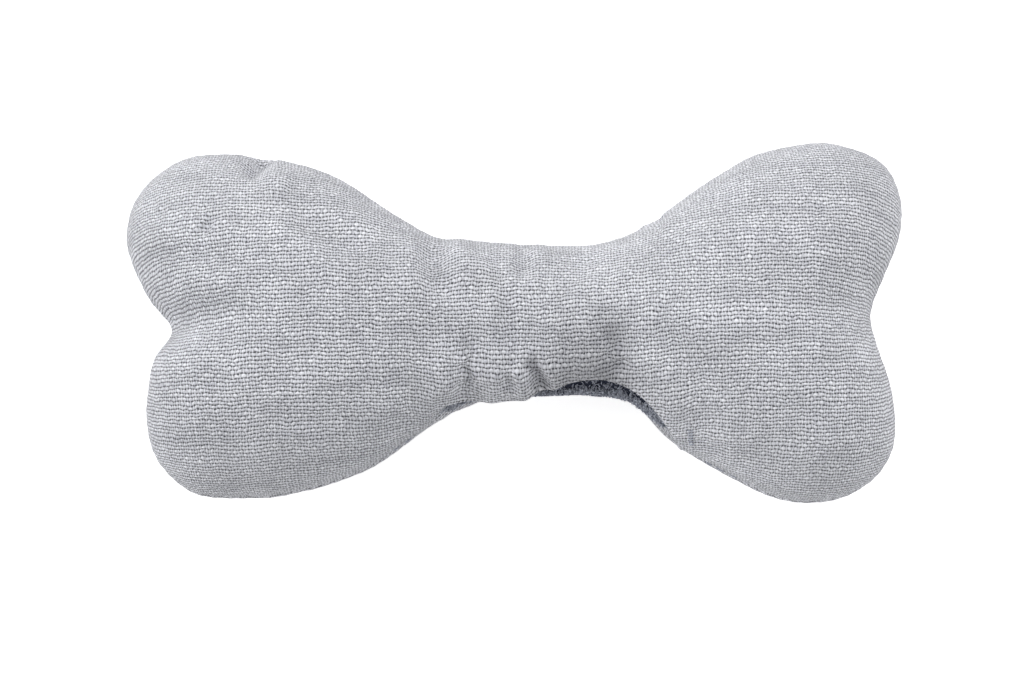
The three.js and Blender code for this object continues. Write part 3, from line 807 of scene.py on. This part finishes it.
def arches(place, count, rise, span, seed, base, standing_share=None):
    """Small arches of fibre standing on a tape, each leaning its own way."""
    chance = random.Random(seed)
    along = np.array([chance.random() for _ in range(count)])
    across = 1 - np.array([chance.random() for _ in range(count)]) ** 1.4
    foot, out = place(along, across, base)
    share = standing_share(along, across) if standing_share else np.ones(count)
    lines = []
    for p, n, s in zip(foot, out, share):
        if chance.random() > s:
            continue
        turn = chance.uniform(0, 2 * math.pi)
        way = Vector((math.cos(turn), math.sin(turn), 0.2)).cross(Vector(n)).normalized()
        lean = Vector(n).cross(way) * chance.uniform(-0.5, 0.5) * rise
        high = rise * s * chance.uniform(0.75, 1.1)
        wide = span * chance.uniform(0.7, 1.2)
        lines.append([
            Vector(p) + way * wide * math.sin(t) / 2 + (Vector(n) * high + lean) * (1 + math.cos(t)) / 2
            for t in np.linspace(-math.pi, math.pi, 6)])
    return lines


def loops_left_by_shadow_band(along, across):
    """What share of the loops stands: fewer and lower near the lip's edge, so the dark ground paints the
    lip's shadow there.
    """
    x = lerp(TAPE_START, TAPE_END, along)
    angle = lerp(loop_high(x), loop_low(x), across)
    past = (angle - lip_angle(x)) * reach_at(near_place(x))
    shadow_band = np.where(past < 0, 1 - smooth(-past, *SHADOW_BAND_ABOVE), 1 - smooth(past, *SHADOW_BAND_BELOW))
    return 1 - SHADOW_BAND_SHARE * shadow_band * (1 - SHADOW_BAND_RIGHT_SPARED * smooth(x, *SHADOW_BAND_RIGHT))


def frays():
    """Loose ends of the tape's and the cloth's threads at the two ends of the mouth."""
    chance = random.Random(5)
    lines = []
    for end in [0] * FRAY_COUNT + [1] * FRAY_COUNT:
        across = chance.uniform(0.72, 1.0)
        along = end + (1 - 2 * end) * chance.uniform(0.0, 0.07)
        foot, out = loop_place(np.array([along]), np.array([across]), BACKING + 0.3 * MM)
        point, up = Vector(foot[0]), Vector(out[0])
        away = Vector((2 * end - 1, 0, 0)) * chance.uniform(0.5, 1.2) + up * chance.uniform(0.1, 0.8)
        away = (away + Vector((0, chance.uniform(-0.6, 0.3), chance.uniform(-0.3, 0.5)))).normalized()
        curl = up.cross(away).normalized() * chance.choice((-1, 1))
        length = chance.uniform(0.9, 2.6) * MM
        tight = chance.uniform(1.0, 4.0)
        line = []
        for _ in range(FRAY_STEPS + 1):
            line.append(tuple(point))
            point = point + away * length / FRAY_STEPS
            away = (away + curl * tight / FRAY_STEPS + up * chance.uniform(-0.12, 0.12)).normalized()
        lines.append(line)
    return tubes("tape_frays", lines, FRAY_RADIUS, 4)


def seam_threads():
    """The stitches that show in the seam's groove, each lying over it from panel to panel."""
    lines = []
    for number in range(STITCHES):
        k = int(np.searchsorted(SEAM_RUN[:-1], (number + 0.5) * SEAM_LENGTH / STITCHES)) % SEAM_STEPS
        if SEAM_SEWN[k] < 0.9:
            continue
        ring = RingRays(SEAM_PLACES[[k, (k + 3) % SEAM_STEPS]])
        point, further = ring.point(np.full(2, RIGHT_ANGLE), SEAM_DEPTH - STITCH_SUNK, True) + OBJECT_SHIFT
        along = Vector(further - point).normalized() * STITCH_HALF + Vector((0, 0, STITCH_SLANT))
        out = Vector((*ring.heading[0], 0)) * STITCH_RISE
        lines.append([Vector(point) + along * s + out * (1 - s * s) for s in STITCH_STEPS])
    return tubes("seam_thread", lines, SEAM_THREAD, 5)


# The bar tack at the mouth's end, in mm as the camera sees it
TACK_FROM, TACK_TO = (33.9, -20.9), (34.3, -24.2)
TACK_STITCHES, TACK_HALF, TACK_RISE, TACK_SUNK = 6, 0.5, 0.3, 0.08


def tack_threads():
    """Small stitches side by side, each lying on the front panel."""
    lines = []
    for number in range(TACK_STITCHES):
        t = (number + 0.5) / TACK_STITCHES
        x, y = (lerp(a, b, t) * MM for a, b in zip(TACK_FROM, TACK_TO))
        line = []
        for s in STITCH_STEPS:
            start = Vector((x + TACK_HALF * MM * s, y, AIM.z)) - VIEW_WAY * 60 * MM
            _, point, normal, _ = front_cover.ray_cast(start, VIEW_WAY)
            line.append(point + normal * (TACK_RISE * (1 - s * s) - TACK_SUNK) * MM)
        lines.append(line)
    return tubes("bar_tack", lines, TACK_THREAD, 5)


# The fibre: each wad is its CAD solid remeshed, and worked into soft tufts that only sink in
WAD_VOXEL, TUFT_DEPTH = 1.2 * MM, 1.2 * MM


def make_wad(node):
    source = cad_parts[node]
    piece = new_object(node.replace("fill", "wad"), source.data.copy())
    piece.matrix_world = source.matrix_world.copy()
    piece.data.materials.clear()
    remesh = piece.modifiers.new("even", "REMESH")
    remesh.mode = "VOXEL"
    remesh.voxel_size = WAD_VOXEL
    apply_modifiers(piece)
    mesh = piece.data
    points, normals = coordinates(mesh), outward(mesh)
    sink = WAD_VOXEL / 4 + TUFT_DEPTH * (0.5 - 0.5 * layered(points, TUFTS))
    sink += np.maximum(folded(points), 0) * smooth(normals[:, 2], 0, FOLD_LEVEL)
    place_vertices(mesh, points - normals * sink[:, None])
    mesh.polygons.foreach_set("use_smooth", [True] * len(mesh.polygons))
    return piece


wads = {node: make_wad(node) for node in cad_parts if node.startswith("fill_")}
loops = strip("loop_backing", loop_place, LOOP_LENGTH, LOOP_WIDTH, BACKING, True)
# The loops thin out along the lip's edge, baring the dark ground as the lip's painted shadow
pile = tubes("loop_pile", arches(
    loop_place, LOOP_COUNT, LOOP_THICKNESS - BACKING, LOOP_SPAN, 21, BACKING, loops_left_by_shadow_band), LOOP_RADIUS)
hooks = strip("hook_backing", hook_place, HOOK_END - HOOK_START, HOOK_WIDTH, HOOK_BACKING, False)
barbs = tubes("hook_barbs", arches(
    hook_place, HOOK_COUNT, HOOK_THICKNESS - HOOK_BACKING, HOOK_SPAN, 33, HOOK_BACKING), HOOK_RADIUS)
loose_ends = frays()
stitches = seam_threads()
tack = tack_threads()


def add(tree, kind, *links, **settings):
    """A node with its settings; each link is (its socket, a value or another node's socket)."""
    node = tree.nodes.new(kind)
    for name, value in settings.items():
        setattr(node, name, value)
    for socket, value in links:
        if isinstance(value, bpy.types.NodeSocket):
            tree.links.new(value, node.inputs[socket])
        else:
            node.inputs[socket].default_value = value
    return node.outputs


def colour(code):
    """A hex sRGB colour as the linear one that the nodes take."""
    parts = [int(code[i:i + 2], 16) / 255 for i in (1, 3, 5)]
    return [c / 12.92 if c <= 0.04045 else ((c + 0.055) / 1.055) ** 2.4 for c in parts] + [1]


def surface(name, roughness, sheen, specular):
    material = bpy.data.materials.new(name)
    material.use_nodes = True
    shader = material.node_tree.nodes["Principled BSDF"]
    for socket, value in (
            ("Roughness", roughness), ("Sheen Weight", sheen), ("Specular IOR Level", specular)):
        shader.inputs[socket].default_value = value
    return material, material.node_tree, shader


def clad(tree, shader, base, relief, strength, distance):
    """Give a shader its colour and its relief."""
    tree.links.new(base, shader.inputs["Base Color"])
    bump = add(tree, "ShaderNodeBump", ("Height", relief), ("Strength", strength), ("Distance", distance))
    tree.links.new(bump["Normal"], shader.inputs["Normal"])


MATH, VECTOR, NOISE = "ShaderNodeMath", "ShaderNodeVectorMath", "ShaderNodeTexNoise"
RANGE, MIX = "ShaderNodeMapRange", "ShaderNodeMix"

# The linen's thread spacing across and up the cloth
WARP_PITCH, WEFT_PITCH = 0.62 * MM, 0.77 * MM

# A darker patch over the hook tape, partly the tape showing through and partly painted shade, on the front
# panel's cut: axis, where it isn't seen, where it's seen most
SHOW_THROUGH_AND_SHADE_PATCH = (("X", -6 * MM, 19 * MM), ("X", 25.6 * MM, 17.6 * MM), ("Y", 9 * MM, -16.5 * MM))
PATCH_DARKENING = 0.46


def wandered(tree, place, scale, reach):
    """A place moved about by smooth noise, up to half the reach each way."""
    way = add(tree, NOISE, ("Vector", place), ("Scale", scale), ("Detail", 2.0),
              noise_dimensions="2D")["Color"]
    way = add(tree, VECTOR, (0, way), (1, [0.5] * 3), operation="SUBTRACT")[0]
    return add(tree, VECTOR, (0, way), (1, [reach] * 3), (2, place), operation="MULTIPLY_ADD")[0]


def linen_plain_weave():
    """Stone-blue linen, plain woven: slubby threads over and under, with pinholes between them, painted
    near black as shade where the threads lie low.
    """
    material, tree, shader = surface("linen_plain_weave", 0.82, 0.2, 0.25)
    cut = add(tree, "ShaderNodeUVMap", uv_map="cut")["UV"]
    # Slow bends in the threads, so that no row runs quite straight
    placed = wandered(tree, cut, 26.0, 0.006)
    thread = add(tree, VECTOR, (0, placed), (1, (CUT_SQUARE / WARP_PITCH, CUT_SQUARE / WEFT_PITCH, 0)),
                 operation="MULTIPLY")[0]
    # Slubs: each thread's own thick and thin stretches
    thread = wandered(tree, thread, 0.45, 0.8)
    split = add(tree, "ShaderNodeSeparateXYZ", (0, thread))
    across, up = split["X"], split["Y"]
    sines, crests = [], []
    for value, power in ((across, 2.2), (up, 0.66)):
        turn = add(tree, MATH, (0, value), (1, math.pi), operation="MULTIPLY")[0]
        sines.append(add(tree, MATH, (0, turn), operation="SINE")[0])
        crest = add(tree, MATH, (0, sines[-1]), operation="ABSOLUTE")[0]
        crests.append(add(tree, MATH, (0, crest), (1, power), operation="POWER")[0])
    over = add(tree, MATH, (0, sines[0]), (1, sines[1]), operation="MULTIPLY")[0]
    # Each thread rises over its neighbours and dips under them, and the higher one is seen
    weft = warp = 0.0
    for part, to_weft, to_warp in ((crests[1], 0.9, 0.0), (over, 0.36, -0.36), (crests[0], 0.2, 0.74)):
        weft = add(tree, MATH, (0, part), (1, to_weft), (2, weft), operation="MULTIPLY_ADD")[0]
        warp = add(tree, MATH, (0, part), (1, to_warp), (2, warp), operation="MULTIPLY_ADD")[0]
    height = add(tree, MATH, (0, weft), (1, warp), operation="MAXIMUM")[0]
    # Uneven yarn, its fibres, and clouds where the weave is closer, longer along the weft
    stretched = add(tree, VECTOR, (0, cut), (1, (18.0, 36.0, 0)), operation="MULTIPLY")[0]
    uneven, fibres, clouds = [
        add(tree, NOISE, ("Vector", place), ("Scale", scale), ("Detail", detail), noise_dimensions="2D")[0]
        for place, scale, detail in ((thread, 0.9, 2.0), (thread, 5.0, 3.0), (stretched, 1.0, 3.0))]
    uneven = add(tree, MATH, (0, uneven), (1, 0.5), operation="SUBTRACT")[0]
    height = add(tree, MATH, (0, uneven), (1, 0.45), (2, height), operation="MULTIPLY_ADD")[0]
    # Each float of yarn has its own shade, and each thread is a little lighter or darker all along
    cell = add(tree, VECTOR, (0, thread), operation="FLOOR")[0]
    spot = add(tree, "ShaderNodeTexWhiteNoise", ("Vector", cell), noise_dimensions="2D")["Value"]
    split = add(tree, "ShaderNodeSeparateXYZ", (0, cell))
    rows = [add(tree, "ShaderNodeTexWhiteNoise", ("W", split[axis]), noise_dimensions="1D")["Value"]
            for axis in "XY"]
    weft_shows = add(tree, MATH, (0, weft), (1, warp), operation="GREATER_THAN")[0]
    row = add(tree, MIX, ("Factor", weft_shows), ("A", rows[0]), ("B", rows[1]))["Result"]
    shade = add(tree, MATH, (0, row), (1, 0.35), (2, 0.05), operation="MULTIPLY_ADD")[0]
    shade = add(tree, MATH, (0, spot), (1, 0.6), (2, shade), operation="MULTIPLY_ADD")[0]
    # Each measure as a share: what it runs from and to, and the least and most that it gives
    depth, tone, speck, clouds = [
        add(tree, RANGE, ("Value", value), ("From Min", low), ("From Max", high), ("To Min", least),
            ("To Max", most))["Result"]
        for value, low, high, least, most in (
            (height, 0.24, 0.96, 0, 1), (shade, 0.1, 0.9, 0, 1),
            (fibres, 0.3, 0.7, 0.86, 1.08), (clouds, 0.3, 0.7, 0.93, 1.07))]
    # A darker patch over the hook tape behind the lip: partly the tape showing through the open weave,
    # partly painted shade of the flank turning down to the lip, darkest near the lip and the right end
    corner = add(tree, "ShaderNodeSeparateXYZ", (0, cut))
    patch = 1.0
    for axis, clear, full in SHOW_THROUGH_AND_SHADE_PATCH:
        near = add(tree, RANGE, ("Value", corner[axis]), ("From Min", clear / CUT_SQUARE + 0.5),
                   ("From Max", full / CUT_SQUARE + 0.5), interpolation_type="SMOOTHSTEP")["Result"]
        patch = add(tree, MATH, (0, patch), (1, near), operation="MULTIPLY")[0]
    show_through_and_shade = add(tree, MATH, (0, patch), (1, -PATCH_DARKENING), (2, 1.0), operation="MULTIPLY_ADD")[0]
    for share in (clouds, show_through_and_shade):
        speck = add(tree, MATH, (0, speck), (1, share), operation="MULTIPLY")[0]
    yarn = add(tree, MIX, (0, tone), (6, colour("#d3d4dc")), (7, colour("#eff0f6")), data_type="RGBA")[2]
    yarn = add(tree, VECTOR, (0, yarn), ("Scale", speck), operation="SCALE")[0]
    # Painted shade: where the threads lie low, between them and in the pinholes, the colour goes to near
    # black
    cloth = add(tree, MIX, (0, depth), (6, colour("#10131f")), (7, yarn), data_type="RGBA")[2]
    relief = add(tree, MATH, (0, fibres), (1, 0.25), (2, height), operation="MULTIPLY_ADD")[0]
    clad(tree, shader, cloth, relief, 1.0, 0.3 * MM)
    return material


def plain_fuzz(name, low, high, wave, roughness=0.95, sheen=0.3):
    """A surface whose colour wanders between two shades, with a relief of the same wave."""
    material, tree, shader = surface(name, roughness, sheen, 0.2)
    place = add(tree, "ShaderNodeTexCoord")["Object"]
    wander = add(tree, NOISE, ("Vector", place), ("Scale", 1 / wave), ("Detail", 4.0))["Fac"]
    tone = add(tree, RANGE, ("Value", wander), ("From Min", 0.3), ("From Max", 0.7))["Result"]
    mixed = add(tree, MIX, (0, tone), (6, colour(low)), (7, colour(high)), data_type="RGBA")[2]
    clad(tree, shader, mixed, wander, 0.5, wave / 4)
    return material


def dress(piece, material):
    piece.data.materials.clear()
    piece.data.materials.append(material)


linen = linen_plain_weave()
# Brushed loops, pale strands between dark ones: looks like blue-grey fuzz
loop_pile = plain_fuzz("loop_pile_brushed_nylon", "#2a3148", "#e4e8f4", 0.45 * MM, 0.9, 0.0)
# Their ground, near black with navy flecks: bared along the lip's edge, it is the lip's painted shadow
loop_ground = plain_fuzz("loop_tape_knitted_ground", "#0d1019", "#2a3042", 0.35 * MM, 0.9, 0.0)
# The hooks: a plain slate grey, smoother than the loops
hook_nylon = plain_fuzz("hook_tape_nylon", "#5a6070", "#747a88", 0.5 * MM, 0.6, 0.0)
# The stuffing: white and quite matt, with faint strands
fibre = plain_fuzz("carded_polyester_fibre", "#dcdcda", "#f6f6f4", 0.8 * MM)
# The squeaker: milky and half glossy, a little uneven from the blowing
polythene = plain_fuzz("blow_moulded_polythene", "#dfe0da", "#e8e9e4", 6 * MM, 0.45, 0.0)
# The reed: milky too, and glossier
reed_film = plain_fuzz("reed_film", "#d4d4ce", "#dedede", 4 * MM, 0.35, 0.0)
# Loose threads of the linen, in its own lights and darks
frayed = plain_fuzz("frayed_linen_threads", "#7f8495", "#d3d6de", 0.5 * MM)
# Sewing thread: an even grey-blue, darker than the linen
thread = plain_fuzz("spun_polyester_thread", "#8d92a3", "#b4b8c4", 0.3 * MM, 0.7)

for piece in (front_cover, back_cover):
    dress(piece, linen)
for piece, material, slot in (
        (loops, loop_ground, "loop_pile"), (pile, loop_pile, "loop_pile"), (loose_ends, frayed, "linen"),
        (stitches, thread, "linen"), (tack, thread, "linen"),
        (hooks, hook_nylon, "hook_nylon"), (barbs, hook_nylon, "hook_nylon")):
    dress(piece, material)
for node, wad in wads.items():
    dress(wad, fibre)
    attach(wad, "bone")
    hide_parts(node)
for node, material in (
        ("squeaker_bulb", polythene), ("squeaker_whistle", polythene), ("squeaker_reed", reed_film)):
    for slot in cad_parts[node].material_slots:
        slot.material = material

for piece in (back_cover, loops, pile, loose_ends, stitches, tack):
    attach(piece, "bone")
for piece in (hooks, barbs):
    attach(piece, "flap")
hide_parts("front_panel", "closure_flap")
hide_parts("back_panel")
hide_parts("loop_tape")
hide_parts("hook_tape")


# How far past the flap's ends the cloth gives, and how far above and below its root
PEEL_CORNER = 9 * MM
PEEL_ROOT = (-0.5 * MM, 2.5 * MM)


def peel_share(mesh):
    """How far each point of the front goes with the lip."""
    rays = Rays(flat_places(mesh))
    past = (rays.angle_at(rays.distance) - ROOT_ANGLE) * rays.reach
    share = smooth(rays.x, FLAP_START - PEEL_CORNER, FLAP_START)
    share *= 1 - smooth(rays.x, FLAP_END, FLAP_END + PEEL_CORNER)
    return smooth(past, *PEEL_ROOT) * share * rays.near


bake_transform(front_cover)
peel_share(front_cover.data).astype(np.float32)

# The floor, the light and the camera
FLOOR_SIZE, FLOOR_GLOW, WORLD_LIGHT = 4.0, 0.68, 0.36
PIXEL = 0.2 * MM
PHOTO_TILT = math.radians(1.07)
LENS, SENSOR, IMAGE_WIDTH = 150, 36, 1024

bpy.ops.mesh.primitive_plane_add(size=FLOOR_SIZE)
floor = bpy.context.active_object
floor.name = "floor"
# A pale matt floor: it takes soft shadows, and a glow for the camera alone makes it paper white
material, tree, shader = surface("floor_pale_matt", 1.0, 0.0, 0.0)
shader.inputs["Base Color"].default_value = colour("#f4f4f4")
glow = add(tree, "ShaderNodeEmission", ("Color", (1, 1, 1, 1)), ("Strength", FLOOR_GLOW))[0]
seen = add(tree, "ShaderNodeLightPath")["Is Camera Ray"]
nothing = add(tree, "ShaderNodeEmission", ("Strength", 0.0))[0]
shown = add(tree, "ShaderNodeMixShader", (0, seen), (1, nothing), (2, glow))[0]
total = add(tree, "ShaderNodeAddShader", (0, shader.outputs["BSDF"]), (1, shown))[0]
tree.links.new(total, tree.nodes["Material Output"].inputs["Surface"])
floor.data.materials.append(material)

world = bpy.data.worlds.new("studio")
scene.world = world
world.use_nodes = True
tree = world.node_tree
lit = tree.nodes["Background"]
lit.inputs["Color"].default_value = (1, 1, 1, 1)
lit.inputs["Strength"].default_value = WORLD_LIGHT
white = add(tree, "ShaderNodeBackground", ("Color", (1, 1, 1, 1)), ("Strength", 1.0))[0]
path = add(tree, "ShaderNodeLightPath")
either = path["Is Camera Ray"]
for kind in ("Is Glossy Ray", "Is Transmission Ray"):
    either = add(tree, MATH, (0, either), (1, path[kind]), operation="MAXIMUM")[0]
mixed = add(tree, "ShaderNodeMixShader", (0, either), (1, lit.outputs["Background"]), (2, white))[0]
tree.links.new(mixed, tree.nodes["World Output"].inputs["Surface"])

# Softboxes round the toy: bearing from +X, height above the floor, distance, size, watts
for name, bearing, height, distance, size, power in (
        ("softbox_far", 61, 40, 1.2, 0.7, 9.4), ("softbox_left", 173, 30, 1.2, 0.7, 10.4),
        ("softbox_right", 320, 30, 0.5, 0.3, 0.65)):
    light = bpy.data.lights.new(name, "AREA")
    light.size = size
    light.energy = power
    lamp = new_object(name, light)
    turn, rise = math.radians(bearing), math.radians(height)
    way = Vector((math.cos(turn) * math.cos(rise), math.sin(turn) * math.cos(rise), math.sin(rise)))
    lamp.location = AIM + way * distance
    lamp.rotation_euler = (-way).to_track_quat("-Z", "Y").to_euler()

data = bpy.data.cameras.new("photo_camera")
data.lens, data.sensor_width = LENS, SENSOR
data.clip_start = 0.01
camera = new_object("photo_camera", data)
camera.location = AIM - VIEW_WAY * (IMAGE_WIDTH * PIXEL * LENS / SENSOR)
turn = VIEW_WAY.to_track_quat("-Z", "Y").to_matrix().to_4x4() @ Matrix.Rotation(-PHOTO_TILT, 4, "Z")
camera.rotation_euler = turn.to_euler()
scene.camera = camera
scene.view_settings.view_transform = "Standard"
